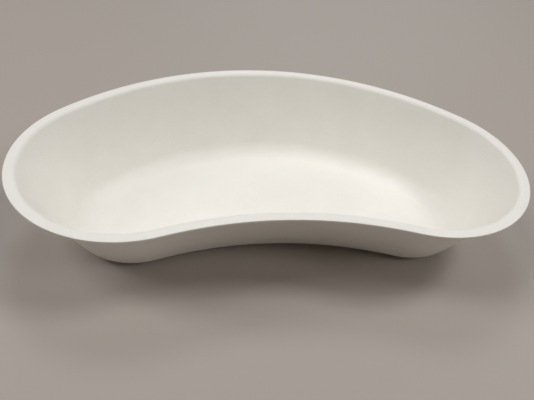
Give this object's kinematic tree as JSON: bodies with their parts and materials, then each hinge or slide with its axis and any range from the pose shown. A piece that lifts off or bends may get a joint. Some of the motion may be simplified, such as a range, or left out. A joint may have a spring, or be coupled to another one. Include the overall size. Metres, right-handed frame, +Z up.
{
  "type": "kidney dish",
  "caption": "Kidney-shaped open dish moulded in one piece, with a flat rim, leaning walls that nest, a rounded foot and a flat floor, for instruments, dressings or fluids at the bedside.",
  "frame": {"origin": "on the table, under the middle of the dish's length and width", "axes": "+X along the length, +Y towards the convex back, +Z up out of the open top"},
  "size_m": [0.25, 0.1395, 0.045],
  "materials": {
    "pulp": "matte"
  },
  "bodies": {
    "root": {"dish": "pulp"}
  },
  "joints": []
}
